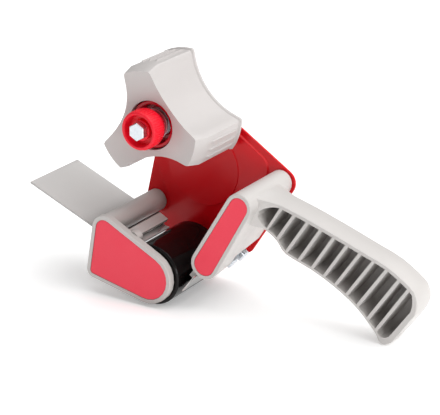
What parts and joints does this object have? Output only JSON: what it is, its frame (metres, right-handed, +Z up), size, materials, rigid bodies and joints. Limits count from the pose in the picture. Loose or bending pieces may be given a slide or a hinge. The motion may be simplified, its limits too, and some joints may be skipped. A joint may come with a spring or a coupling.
{
  "type": "packing tape dispenser",
  "caption": "Hand-held packing tape dispenser: lobed tape hub with a screw brake, roller, wiper, toothed blade and a ribbed pistol grip on a steel side frame.",
  "frame": {"origin": "centre of the footprint, on the surface that the roller and the grip's foot stand on", "axes": "+X from the wiper towards the grip, +Y from the open side towards the steel side frame, along the hub and roller axes, +Z up"},
  "size_m": [0.2672, 0.0734, 0.1523],
  "materials": {
    "red_steel": "gloss enamel",
    "grey_plastic": "moulded, satin",
    "wiper_plastic": "smooth sheet",
    "red_inset": "plain film panel",
    "red_plastic": "moulded, knurled",
    "dark_red_plastic": "moulded",
    "black_rubber": "gloss",
    "black_plastic": "moulded",
    "zinc": "bright zinc plating",
    "blade_steel": "polished",
    "bronze": "sintered"
  },
  "bodies": {
    "root": {"side_frame": "red_steel", "hub_spindle": "zinc", "brake_cup": "dark_red_plastic", "brake_spring": "zinc", "roller_axle": "zinc", "roller_spacer": "black_plastic", "axle_washer": "zinc", "axle_nut": "zinc", "front_housing": "grey_plastic", "front_label": "red_inset", "stop_pin": "zinc", "stop_spring": "zinc", "handle": "grey_plastic", "handle_label": "red_inset", "blade": "blade_steel", "blade_screw_near": "zinc", "blade_screw_far": "zinc", "frame_screw_upper": "zinc", "frame_screw_lower": "zinc", "frame_screw_front": "zinc"},
    "hub": {"hub": "grey_plastic", "hub_bush_near": "bronze", "hub_bush_far": "bronze"},
    "tension": {"thrust_washer": "zinc"},
    "knob": {"brake_knob": "red_plastic", "tension_bolt": "zinc"},
    "roller": {"roller_sleeve": "black_rubber", "roller_core": "black_plastic", "roller_bush_near": "bronze", "roller_bush_far": "bronze"},
    "wiper": {"wiper": "wiper_plastic"},
    "stop": {"return_stop": "wiper_plastic"}
  },
  "joints": [
    {"name": "hub_spin", "type": "hinge", "parent": "root", "child": "hub", "pos_m": [-0.04312, -0.0007, 0.1137], "axis": [0, 1, 0], "continuous": true},
    {"name": "tension_travel", "type": "slide", "parent": "root", "child": "tension", "axis": [0, 1, 0], "range_m": [-0.001, 0.001], "deforming": ["brake_spring"]},
    {"name": "knob_turn", "type": "hinge", "parent": "tension", "child": "knob", "pos_m": [-0.04312, -0.0007, 0.1137], "axis": [0, 1, 0], "range_deg": [-360, 360]},
    {"name": "roller_spin", "type": "hinge", "parent": "root", "child": "roller", "pos_m": [-0.03862, -0.0047, 0.0197], "axis": [0, 1, 0], "continuous": true},
    {"name": "wiper_flex", "type": "hinge", "parent": "root", "child": "wiper", "pos_m": [-0.07252, -0.0007, 0.0447], "axis": [0, 1, 0], "range_deg": [-5, 25], "stiffness_Nm_per_rad": 0.1},
    {"name": "stop_lift", "type": "hinge", "parent": "root", "child": "stop", "pos_m": [-0.05572, -0.0177, 0.0392], "axis": [0, -1, 0], "range_deg": [0, 8], "stiffness_Nm_per_rad": 0.005, "springref_deg": -5.73, "deforming": ["stop_spring"]}
  ],
  "couplings": [
    {"joint": "tension_travel", "follows": "knob_turn", "m_per_rad": 0.000159}
  ]
}
